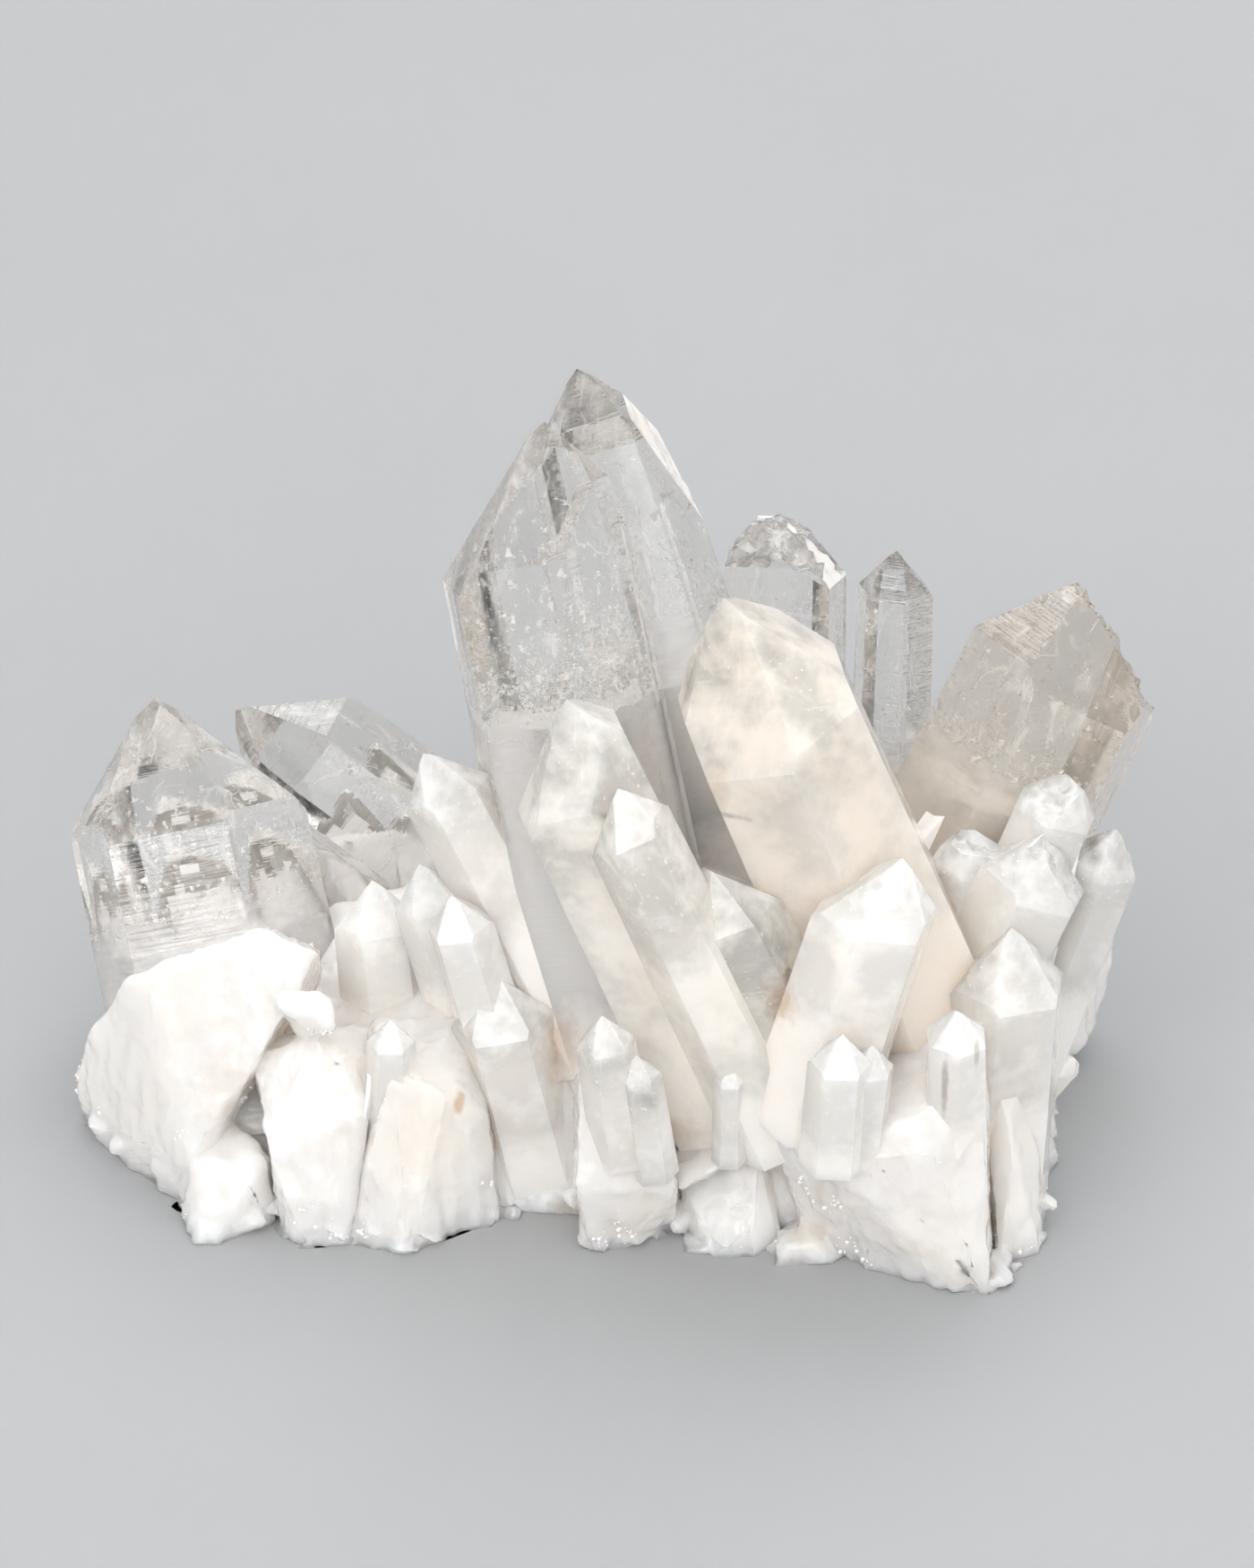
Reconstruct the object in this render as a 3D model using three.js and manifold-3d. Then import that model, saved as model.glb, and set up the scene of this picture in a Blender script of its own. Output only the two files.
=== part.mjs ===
// A hand-sized cluster of self-healed quartz: clear points on a milky, intergrown base. Millimetres, +Z up.
// The origin is at the middle of the cluster, on the flat cut that it rests on. The front of the cluster
// faces -Y. Every crystal is cut by planes, as quartz is: six prism faces around its long axis, and six tip
// faces at one fixed angle to them. The crystals have grown together, so they are joined in one solid.

import * as THREE from "three";
import { ConvexGeometry } from "three/addons/geometries/ConvexGeometry.js";
import { mergeVertices } from "three/addons/utils/BufferGeometryUtils.js";
import Module from "manifold-3d";

const wasm = await Module();
wasm.setup();
const { Manifold, Mesh } = wasm;

// Angle in degrees between a quartz prism face and the tip face above it.
const TIP_FACE_ANGLE = 38.2;
// Growth makes the prism a little narrower towards the tip, in degrees a side.
const TAPER = 0.8;
// How far every other tip face stands out past the point, as a share of the width, which makes it the
// smaller one.
const SMALL_FACE_SHARE = 0.04;
const SIDES = 6;
// The middle of the finished outline in the tables' frame. It is moved to the origin at the end.
const MIDDLE = [0.25, 0.5];
// The block that cuts the underside flat: its length, width and height.
const CUT_BLOCK = [300, 300, 100];
// Corners nearer than this are one, and a corner this far outside a plane still counts as on it.
const SAME_CORNER = 0.001;
const ON_PLANE = 1e-6;
const QUARTZ_COLOUR = 0xf1ece6;
const QUARTZ_ROUGHNESS = 0.15;

const radians = THREE.MathUtils.degToRad;
const vector = (xyz) => new THREE.Vector3(...xyz);

// The large points. tip is where the point is. left and back are the lean in degrees, seen from the front.
// width is across the corners. twist turns the faces about the axis, and 0 sets one flat to the front.
// shift is how far the point sits off the prism's axis, to the right and to the front. A cut is a further
// plane, that faces towards the right, the front and up, and passes the tip by out.
const LARGE_POINTS = {
  left_end: { tip: [-47.2, 20, 37.2], left: 14.2, back: 33, width: 25.2, length: 46, shift: [-0.6, 0] },
  left_back: {
    tip: [-39.3, 26, 31.5], left: 55, back: 20, width: 16.6, length: 62, twist: 18, shift: [-0.4, 0],
  },
  left_inner: {
    tip: [-18.5, 0, 44], left: 28.5, back: 20, width: 9.4, length: 40, twist: 20, shift: [-0.4, 0],
  },
  tall_front: {
    tip: [-6.2, 14, 74.7], left: 11.8, back: 20, width: 20, length: 66, twist: -15, shift: [4, 0],
  },
  tall_back: {
    tip: [-3, 24, 74.8], left: 18.9, back: 22, width: 14.2, length: 66, twist: 5, shift: [0, 2],
    cuts: [{ towards: [0.976, 0, 0.218], out: 2.9 }],
  },
  middle: {
    tip: [11.6, -5, 66], left: 21.6, back: 3, width: 19, length: 62, twist: -21, shift: [-0.4, -3.2],
  },
  centre: { tip: [-3.9, -10, 57.4], left: 23.2, back: 6, width: 15, length: 52, twist: -16, shift: [2.8, 0] },
  front_right: {
    tip: [29.2, -20, 45.3], left: -14.7, back: 4, width: 12.5, length: 32, twist: 10, shift: [1, 0],
  },
  right_end: {
    tip: [52.3, 20, 53.7], left: -27, back: 20, width: 22, length: 58, twist: 2, shift: [0, -1.2],
    cuts: [{ towards: [0.58, 0, 0.815], out: -4.3 }, { towards: [0, 0.1, 1], out: -3.6 }],
  },
};

// Smaller points that stand among the large ones, or lie against them.
const SMALL_POINTS = {
  centre_twin: {
    tip: [1.2, -17, 51.6], left: 23.2, back: 6, width: 9, length: 44, twist: 10, shift: [0.8, 0],
  },
  centre_low: {
    tip: [9.6, -16, 41.3], left: 24.1, back: 6, width: 10.5, length: 36, twist: 0, shift: [-0.6, 0],
  },
  ramp_top: {
    tip: [47.2, -1, 42.6], left: -20, back: 8, width: 9, length: 36, twist: 14,
    cuts: [{ towards: [0.1, 0.2, 1], out: -1.5 }, { towards: [-0.5, 0.4, 0.8], out: -1.6 }],
  },
  ramp_side: { tip: [51.8, -2, 36], left: -18.1, back: 8, width: 8, length: 32, twist: 25 },
  ramp_front: {
    tip: [45.4, -7, 39.4], left: -22.3, back: 6, width: 12, length: 40, twist: 10,
    cuts: [{ towards: [-0.1, 0.3, 1], out: -1.8 }, { towards: [0.5, 0.2, 0.8], out: -1.9 }],
  },
  right_wall: { tip: [40.7, -14, 32.4], left: -2.6, back: 4, width: 12.5, length: 40, twist: 20 },
  back_broken: {
    tip: [18.7, 26, 59.8], left: -0.9, back: 12, width: 13, length: 50, twist: 12,
    cuts: [{ towards: [0.15, 0.1, 1], out: -5.9 }, { towards: [0.57, 0.1, 0.82], out: -5 },
      { towards: [-0.55, 0.2, 0.83], out: -3.4 }],
  },
  back_small: { tip: [30.2, 27, 50.9], left: -0.9, back: 12, width: 8.2, length: 44, twist: -20 },
  saddle: {
    tip: [37.3, -4, 38.6], left: -3.6, back: 8, width: 9, length: 30, twist: 12,
    cuts: [{ towards: [0.15, 0.1, 1], out: -2.6 }],
  },
  front_edge: { tip: [34.6, -27, 31.8], left: 1.6, back: 0, width: 6.5, length: 36, twist: 30 },
  front_milky_a: { tip: [23.3, -30, 31.2], left: -2.5, back: 0, width: 6.5, length: 16 },
  front_milky_b: { tip: [26.3, -29, 29], left: -4.9, back: 0, width: 5, length: 14, twist: 15 },
  pair_tall: { tip: [-0.4, -25, 29.7], left: 6.6, back: 0, width: 6, length: 18, twist: 10 },
  pair_short: { tip: [3, -26, 25.5], left: 7.4, back: 0, width: 4.5, length: 15 },
  front_left: { tip: [-11.7, -13, 26.1], left: 11.8, back: 2, width: 10.6, length: 36, twist: 0 },
  ridge_back: { tip: [-19, -4, 33.1], left: 16.6, back: 10, width: 8, length: 34, twist: 10 },
  ridge_front: { tip: [-15.5, -11, 34.2], left: 14.2, back: 6, width: 7, length: 36, twist: -10 },
  stub: { tip: [-21.6, -19, 24.6], left: -1.6, back: 0, width: 5, length: 14 },
  valley: { tip: [-24, -1, 28.9], left: 4.7, back: 12, width: 9, length: 30, twist: 15 },
  bead: { tip: [12.4, -24, 22.6], left: 0, back: 0, width: 3.3, length: 12 },
};

// Points on the sides and at the back, which lean outwards.
const OUTER_POINTS = {
  back_a: { tip: [-28, 30, 20], left: 18, back: 48, width: 14, length: 36, twist: 10 },
  back_b: { tip: [1, 31, 40], left: 4, back: 42, width: 15, length: 46, twist: -12 },
  back_c: { tip: [8, 32, 34], left: -5, back: 46, width: 12, length: 42, twist: 20 },
  back_d: { tip: [26, 31, 27], left: -20, back: 46, width: 12, length: 40, twist: 0 },
  back_e: { tip: [-45, 22, 17], left: 42, back: 44, width: 10, length: 34, twist: 25 },
  back_f: { tip: [44, 27, 24], left: -34, back: 42, width: 11, length: 38, twist: 14 },
  back_g: { tip: [-21, 31, 17], left: 12, back: 62, width: 9, length: 30, twist: 5 },
  back_h: { tip: [-3, 33, 20], left: 0, back: 60, width: 10, length: 34, twist: 18 },
  back_i: { tip: [17, 33, 15], left: -12, back: 66, width: 8, length: 30, twist: -8 },
  back_j: { tip: [35, 29, 12], left: -30, back: 62, width: 9, length: 30, twist: 28 },
  back_k: { tip: [-35, 26, 9], left: 34, back: 64, width: 8, length: 26, twist: 0 },
  back_l: { tip: [6, 34, 9], left: -4, back: 74, width: 7, length: 26, twist: 12 },
};

// Parallel growth on the flanks of larger points: of is the point it lies on, at is how far to the right
// and the front of its tip, and down is how far below it along the axis.
const FLANKS = {
  tall_front_edge: { of: "tall_front", at: [4.3, 1.6], down: 9, width: 4.4, length: 40 },
  tall_front_blade: { of: "tall_front", at: [-0.2, 7.5], down: 30, width: 1.9, length: 9 },
  tall_back_edge: { of: "tall_back", at: [3.2, 1], down: 12, width: 5.8, length: 44 },
  right_end_bead: { of: "right_end", at: [-5.6, 1.4], down: 5.2, width: 1.7, length: 3 },
  right_end_grain: { of: "right_end", at: [-4.2, 2.2], down: 4.6, width: 1.3, length: 3 },
  right_end_speck: { of: "right_end", at: [-1.3, 1.6], down: 3.6, width: 1.8, length: 3 },
};

// The milky mass between the crystals, as convex lumps given by their corners.
const LUMPS = {
  mound: [
    [-44, -12, 0], [-38, -16, 0], [-20, -16, 0], [10, -17, 0], [36, -24, 0], [44, -18, 0], [48, 6, 0],
    [36, 22, 0], [0, 26, 0], [-30, 22, 0], [-48, 6, 0], [-38, -8, 14], [-18, -12, 18], [12, -13, 22],
    [34, -16, 24], [41, 2, 22], [20, 14, 24], [-10, 14, 22], [-36, 8, 16],
  ],
  left_lump: [
    [-49.3, -6, 20.3], [-46.9, -8, 21.3], [-35.1, -9, 28.9], [-29.6, -9, 25.5], [-31.1, -12, 23.6],
    [-53.6, -4, 11.8], [-55.6, -3, 5.8], [-55, -5, 1.5], [-55, -3, 0], [-52, -9, 0], [-47.5, -12.5, 0],
    [-45.5, -14.5, 0], [-34.5, -13, 18.5], [-35.5, -16, 17], [-40, -18, 11], [-42.5, -19, 6.5],
    [-43.5, -18, 0], [-30, 10, 12], [-50, 8, 4], [-48, 8, 0], [-30, 12, 0],
  ],
  left_foot: [
    [-42, -24.5, 0], [-39.5, -24.5, 0], [-34, -21, 0], [-44.5, -17, 1], [-42.5, -19, 6.5], [-36.5, -22, 6],
    [-34.5, -20, 8], [-40, -12, 8], [-42, -12, 0], [-34, -12, 0],
  ],
  fan_left: [
    [-36, -14, 16], [-30, -14, 19], [-25.5, -16, 16.5], [-34, -22, 9.5], [-33, -22, 0], [-30.5, -25, 0],
    [-26, -24.5, 0], [-24, -20, 14], [-36, -8, 14], [-24, -8, 16], [-34, -8, 0], [-24, -8, 0],
  ],
  fan_right: [
    [-21.5, -21, 19.5], [-24, -23, 10], [-26, -24.5, 0], [-21, -26, 0], [-20, -26, 0], [-16, -21, 16.5],
    [-11, -20.5, 0], [-12, -19, 12], [-24, -10, 18], [-13, -10, 18], [-24, -10, 0], [-11, -10, 0],
  ],
  flake: [
    [-33.5, -15, 25], [-29.5, -15, 25.5], [-27.5, -15, 24], [-27, -17, 22], [-29.5, -17, 21.5],
    [-33, -17, 25], [-33, -11, 20], [-28, -11, 20], [-31, -13, 17],
  ],
  centre_foot: [
    [-2.5, -24, 22], [5, -24, 20], [-3, -28, 10], [7, -27, 9], [-2, -24, 0], [-1, -25.5, 0], [2, -25, 0],
    [7, -22, 0], [-3, -15, 14], [5, -15, 18], [-3, -15, 0], [7, -15, 0],
  ],
  ledge: [
    [6.5, -21, 8.5], [11, -17, 10.5], [17, -17, 11.5], [17, -21, 12.5], [13, -24, 11], [7.5, -26, 8.5],
    [6.5, -16, 6], [17, -15, 8.5], [8, -23, 6.5], [13, -22, 8.5],
  ],
  under_ledge: [
    [8.5, -23, 0], [11, -26.5, 0], [15, -26.5, 0], [17.5, -24, 0], [7.5, -21, 5.5], [15.5, -21, 8.5],
    [8, -14, 6], [17, -14, 9], [8, -14, 0], [18, -14, 0],
  ],
  chip: [
    [17, -28, 0], [23, -27.5, 0], [17.5, -25, 1.5], [20.5, -24, 3], [23.5, -25, 2.5], [20, -28, 2.6],
    [17.5, -27.5, 2], [18, -21, 0], [23, -21, 0],
  ],
  right_foot: [
    [17, -26, 15.5], [22, -31, 16], [32.5, -31, 17], [37.5, -28, 24], [20, -23, 0], [25, -26.5, 0],
    [28, -29, 0], [32, -29.5, 0], [34.5, -31.5, 0], [38.5, -32.5, 0], [17, -15, 12], [38, -15, 25],
    [20, -15, 0], [40, -15, 0],
  ],
  right_lump: [
    [43, -10, 28], [46, -6, 15.5], [47, -4, 0], [45, -18, 0], [40, -27.5, 0], [44, -26, 0], [41, -24, 12],
    [37, -14, 26], [38, 2, 24], [46, 4, 12], [38, -10, 0],
  ],
  right_overhang: [
    [54, 14, 11.5], [53.5, 12, 5.5], [51.5, 8, 1.5], [48.5, 4, 2], [47, 4, 8], [49, 6, 18.5], [44, 16, 8],
    [44, 10, 22], [50, 16, 18], [40, 6, 4],
  ],
};

// The broken rim, as a line on the ground that the chips follow.
const RIM = [
  [-54, -4], [-51, -9], [-46, -13], [-43, -18], [-41, -23], [-34, -20], [-31, -24], [-26, -23.5],
  [-20, -25], [-12, -20], [-4, -16.5], [-2, -23], [2, -24], [7, -21], [11, -25], [17, -23.5], [25, -26],
  [31, -29], [38, -31.5], [43, -25], [44, -15], [45, -4], [46, 6], [43, 13], [35, 20.5], [20, 22.5],
  [0, 24.5], [-18, 22.5], [-31, 20], [-40, 12], [-48, 6],
];
// One chip stands on each step of it, moved on by up to a share of the step, and its middle is that many
// sizes up.
const CHIP_STEP = 3;
const CHIP_STRAY = 0.6;
const CHIP_SIZE = [1.3, 3.3];
const CHIP_RISE = [-0.5, 1.1];
const CHIP_CORNERS = 9;
const CHIP_SQUASH = 0.6;
const CHIP_SEED = 3;

// Small points around the flanks and the back: how many, and the arc of the ellipse on the ground that they
// stand on.
const SPROUTS = 30;
const SPROUT_ARC = [-20, 205];
const SPROUT_RING = [44, 23];
// Their sizes, how far out of the ring their tips stand, and how much they lean outwards to the side and
// the back.
const SPROUT_WIDTH = [2.6, 5.2];
const SPROUT_LENGTH = 22;
const SPROUT_HEIGHT = [6, 20];
const SPROUT_OUT = [1, 1.16];
const SPROUT_LEAN_SIDE = [25, 60];
const SPROUT_LEAN_BACK = [30, 65];
const SPROUT_STRAY = 0.8;
const SPROUT_SEED = 21;

// The unit vectors of a crystal: along its axis to the tip, to its front, and to its right.
function crystalAxes({ left, back }) {
  const up = vector([-Math.tan(radians(left)), Math.tan(radians(back)), 1]).normalize();
  const front = vector([0, -1, 0]);
  front.addScaledVector(up, -front.dot(up)).normalize();
  return { up, front, right: new THREE.Vector3().crossVectors(up, front) };
}

// The planes of one crystal, with their normals pointing out.
function crystalPlanes(spec) {
  const { tip, width, length, twist = 0, shift = [0, 0], cuts = [] } = spec;
  const { up, front, right } = crystalAxes(spec);
  const point = vector(tip);
  const apothem = (width / 2) * Math.cos(Math.PI / SIDES);
  const shoulder = apothem / Math.tan(radians(TIP_FACE_ANGLE));
  const axis = point.clone().addScaledVector(right, -shift[0]).addScaledVector(front, -shift[1]);
  axis.addScaledVector(up, -shoulder);
  const plane = (normal, through, out) =>
    new THREE.Plane().setFromNormalAndCoplanarPoint(normal, through.clone().addScaledVector(normal, out));
  const tilted = (side, angle) =>
    side.clone().multiplyScalar(Math.cos(radians(angle))).addScaledVector(up, Math.sin(radians(angle)));
  const planes = [plane(up.clone().negate(), point, length)];
  for (let i = 0; i < SIDES; i++) {
    const turn = radians(twist + (360 / SIDES) * i);
    const side = front.clone().multiplyScalar(Math.cos(turn)).addScaledVector(right, Math.sin(turn));
    planes.push(plane(tilted(side, TAPER), axis, apothem));
    planes.push(plane(tilted(side, TIP_FACE_ANGLE), point, (i % 2) * SMALL_FACE_SHARE * width));
  }
  for (const { towards, out } of cuts) {
    const normal = new THREE.Vector3().addScaledVector(right, towards[0]);
    normal.addScaledVector(front, towards[1]).addScaledVector(up, towards[2]).normalize();
    planes.push(plane(normal, point, out));
  }
  return planes;
}

// The corners of the space inside all the planes.
function corners(planes) {
  const found = [];
  const normals = new THREE.Matrix3();
  for (let i = 0; i < planes.length; i++)
    for (let j = i + 1; j < planes.length; j++)
      for (let k = j + 1; k < planes.length; k++) {
        const [a, b, c] = [planes[i], planes[j], planes[k]];
        normals.set(...a.normal, ...b.normal, ...c.normal);
        if (Math.abs(normals.determinant()) < ON_PLANE) continue;
        const corner = new THREE.Vector3(-a.constant, -b.constant, -c.constant);
        corner.applyMatrix3(normals.invert());
        const inside = planes.every((p) => p.distanceToPoint(corner) < ON_PLANE);
        if (inside && !found.some((f) => f.distanceTo(corner) < SAME_CORNER)) found.push(corner);
      }
  return found;
}

// A closed three.js geometry as a solid that can be joined and cut.
function solid(geometry) {
  geometry.deleteAttribute("normal");
  geometry.deleteAttribute("uv");
  const merged = mergeVertices(geometry);
  const vertProperties = merged.attributes.position.array;
  const triVerts = new Uint32Array(merged.index.array);
  return new Manifold(new Mesh({ numProp: 3, vertProperties, triVerts }));
}

const crystal = (spec) => solid(new ConvexGeometry(corners(crystalPlanes(spec))));
const lump = (points) => solid(new ConvexGeometry(points));

// The same crystal as a larger one in lean and twist, moved off its tip and made smaller.
function flank({ of, at, down, width, length }) {
  const { up, front, right } = crystalAxes(LARGE_POINTS[of]);
  const tip = vector(LARGE_POINTS[of].tip).addScaledVector(up, -down);
  tip.addScaledVector(right, at[0]).addScaledVector(front, at[1]);
  return crystal({ ...LARGE_POINTS[of], tip: tip.toArray(), width, length, shift: [0, 0], cuts: [] });
}

// A function that gives the next number of a range, in an order that looks random and is the same each time.
function numbers(seed) {
  THREE.MathUtils.seededRandom(seed);
  return ([low, high]) => THREE.MathUtils.lerp(low, high, THREE.MathUtils.seededRandom());
}

// A small broken piece: corners on a squashed ball about its middle.
function chip(middle, size, next) {
  const corner = () => {
    const turn = next([0, 2 * Math.PI]);
    const height = next([-1, 1]);
    const reach = Math.sqrt(1 - height * height);
    const unit = vector([reach * Math.cos(turn), reach * Math.sin(turn), height * CHIP_SQUASH]);
    return unit.multiplyScalar(size);
  };
  return lump(Array.from({ length: CHIP_CORNERS }, () => corner().add(middle)));
}

function rimChips() {
  const next = numbers(CHIP_SEED);
  const rim = new THREE.CurvePath();
  RIM.forEach((start, i) => {
    const end = RIM[(i + 1) % RIM.length];
    rim.add(new THREE.LineCurve3(vector([...start, 0]), vector([...end, 0])));
  });
  const count = Math.floor(rim.getLength() / CHIP_STEP);
  return Array.from({ length: count }, (_, i) => {
    const size = next(CHIP_SIZE);
    const middle = rim.getPointAt((i + next([0, CHIP_STRAY])) / count);
    middle.z = size * next(CHIP_RISE);
    return chip(middle, size, next);
  });
}

function sprouts() {
  const next = numbers(SPROUT_SEED);
  return Array.from({ length: SPROUTS }, (_, i) => {
    const turn = radians(THREE.MathUtils.lerp(...SPROUT_ARC, (i + next([0, SPROUT_STRAY])) / SPROUTS));
    const [right, back] = [Math.cos(turn), Math.sin(turn)];
    const out = next(SPROUT_OUT);
    return crystal({
      tip: [right * SPROUT_RING[0] * out, back * SPROUT_RING[1] * out, next(SPROUT_HEIGHT)],
      left: -right * next(SPROUT_LEAN_SIDE),
      back: back * next(SPROUT_LEAN_BACK),
      width: next(SPROUT_WIDTH),
      length: SPROUT_LENGTH,
      twist: next([0, 360 / SIDES]),
    });
  });
}

function buildCluster() {
  const points = [LARGE_POINTS, SMALL_POINTS, OUTER_POINTS].flatMap(Object.values);
  const lumps = Object.values(LUMPS).map((points) => lump(points.map(vector)));
  const pieces = [...points.map(crystal), ...lumps];
  pieces.push(...Object.values(FLANKS).map(flank), ...rimChips(), ...sprouts());
  const joined = pieces.reduce((all, piece) => all.add(piece));
  const below = new THREE.BoxGeometry(...CUT_BLOCK).translate(0, 0, -CUT_BLOCK[2] / 2);
  // A chip that touches nothing is left out.
  const bodies = joined.subtract(solid(below)).decompose();
  const main = bodies.reduce((largest, body) => (body.volume() > largest.volume() ? body : largest));
  return main.translate([-MIDDLE[0], -MIDDLE[1], 0]);
}

function geometryOf(body) {
  const { vertProperties, triVerts } = body.getMesh();
  const geometry = new THREE.BufferGeometry();
  geometry.setAttribute("position", new THREE.BufferAttribute(vertProperties, 3));
  geometry.setIndex(new THREE.BufferAttribute(triVerts, 1));
  return geometry;
}

const quartz = new THREE.MeshStandardMaterial({
  color: QUARTZ_COLOUR,
  roughness: QUARTZ_ROUGHNESS,
  metalness: 0,
  flatShading: true,
});
const cluster = new THREE.Mesh(geometryOf(buildCluster()), quartz);
cluster.name = "quartz_cluster";

const root = new THREE.Group();
root.add(cluster);
export default root;
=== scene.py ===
"""The looks of a cluster of self-healed quartz: clear points that fade into a milky, healed base.

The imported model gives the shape. Nearly every flat face of it belongs to a crystal of the table below, which
says how far from its tip that crystal stays clear, how much veil it holds and what colour it has. Sizes here
are in millimetres, and MM turns them into Blender's metres.
"""

import math

import bmesh
import bpy
import numpy as np
from mathutils import Matrix, Vector, noise
from mathutils.bvhtree import BVHTree


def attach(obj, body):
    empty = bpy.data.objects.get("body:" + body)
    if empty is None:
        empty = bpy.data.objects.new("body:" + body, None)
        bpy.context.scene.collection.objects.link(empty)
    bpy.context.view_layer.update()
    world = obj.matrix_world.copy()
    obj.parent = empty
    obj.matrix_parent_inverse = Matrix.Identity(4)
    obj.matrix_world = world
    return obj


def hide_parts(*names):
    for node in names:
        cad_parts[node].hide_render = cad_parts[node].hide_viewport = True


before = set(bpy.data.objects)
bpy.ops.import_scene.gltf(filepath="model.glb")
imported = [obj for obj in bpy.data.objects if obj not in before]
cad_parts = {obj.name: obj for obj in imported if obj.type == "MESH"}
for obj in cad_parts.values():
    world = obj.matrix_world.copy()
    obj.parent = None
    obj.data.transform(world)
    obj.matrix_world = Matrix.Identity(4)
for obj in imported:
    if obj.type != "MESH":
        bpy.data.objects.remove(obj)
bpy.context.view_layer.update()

MM = 0.001
NODE = "quartz_cluster"

# The camera looks at a point of the cluster from this height angle and distance.
CAMERA_TARGET = (1.85, -0.5, 40.2)
CAMERA_ELEVATION = 35
CAMERA_DISTANCE = 620
CAMERA_LENS = 140.3
CAMERA_SENSOR = 36

# The studio's walls and ceiling: their colour, from and to which sine of the angle of height they brighten,
# and their strength there.
WORLD_COLOUR = (0.98, 0.99, 1)
WORLD_RANGE = (0, 0.85, 0.5, 1.15)

# The soft lights: direction from the cluster, distance and size in metres, power in watts, and colour.
LIGHTS = {
    "key": ((-0.55, -0.75, 0.75), 0.7, 0.35, 1.4, (1, 0.985, 0.96)),
    "fill": ((0.8, -0.6, 0.5), 0.9, 0.6, 1.1, (1, 0.99, 0.98)),
    "front": ((0.1, -1, 0.45), 0.9, 0.7, 2, (1, 0.995, 0.985)),
    "top": ((0.1, 0.6, 0.8), 0.8, 0.6, 3, (1, 1, 1)),
}

# The floor: its radius in metres, how many sides it has, and the tones of its mottle.
FLOOR_RADIUS = 3
FLOOR_SIDES = 96
FLOOR_TONES = ((0.34, 0.345, 0.352), (0.375, 0.38, 0.387))

# Angles of quartz: the rise of a prism face and of a tip face towards the axis.
PRISM_ANGLE = math.radians(0.8)
TIP_ANGLE = math.radians(38.2)
# How far every other tip face stands out past the point, as a share of the width.
SMALL_FACE_SHARE = 0.04
# How far below its clear part a crystal's cloud starts, as a share of the length that it closes in.
CLOUD_SHARE = 0.3
# The middle of the outline in the frame that the crystals' tips are given in.
MIDDLE = Vector((0.25, 0.5, 0))
# How near a face has to be to a crystal's own plane, and to its direction, to belong to it.
PLANE_FIT = 0.06
SAME_WAY = 0.9998
# How far from the axis a crystal's own faces are at most, in widths of it, and how much further for each
# millimetre below the tip. A face in one of its directions can be further off where crystals meet.
AXIS_REACH = 0.56
AXIS_SPREAD = 0.02
BESIDE_REACH = 1.2
# How much a broken face looks up the axis at least, and the underside down, as cosines.
BROKEN_WAY = 0.3
DOWNWARDS = 0.99
# How near the floor the underside is, and how near each other corners are that are one.
FLOOR_FIT = 0.01
WELD = 0.0005

# Kinds of face.
FLAT, BROKEN, LUMP, UNDERSIDE = range(4)

# Colours of the cloudy quartz, of the clear quartz, of what is on or in it, and of the painted shade in slots.
MILK = (0.92, 0.888, 0.855)
SNOW = (0.79, 0.768, 0.745)
PEARL = (0.93, 0.885, 0.83)
CREAM = (0.85, 0.775, 0.69)
GREY = (0.83, 0.815, 0.79)
CLEAR = (1.0, 0.985, 0.965)
WARM = (0.98, 0.95, 0.91)
SMOKE = (0.95, 0.885, 0.815)
RUST = (0.6, 0.44, 0.3)
# Painted shade: the dark colour painted into slots of the surface, where they lie in shade.
SLOT_SHADE_COLOUR = (0.22, 0.21, 0.2)
WISP_WHITE = (1, 0.99, 0.98)
GRAIN_WHITE = (0.96, 0.945, 0.93)
FLAKE_TONES = ((0.95, 0.94, 0.92), (1, 1, 1))
# The glass of quartz: its index of refraction, and the colour and density of what it takes from the light.
QUARTZ_IOR = 1.544
ABSORBED = (0.95, 0.9, 0.84, 1)
ABSORPTION = 8.0


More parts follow.
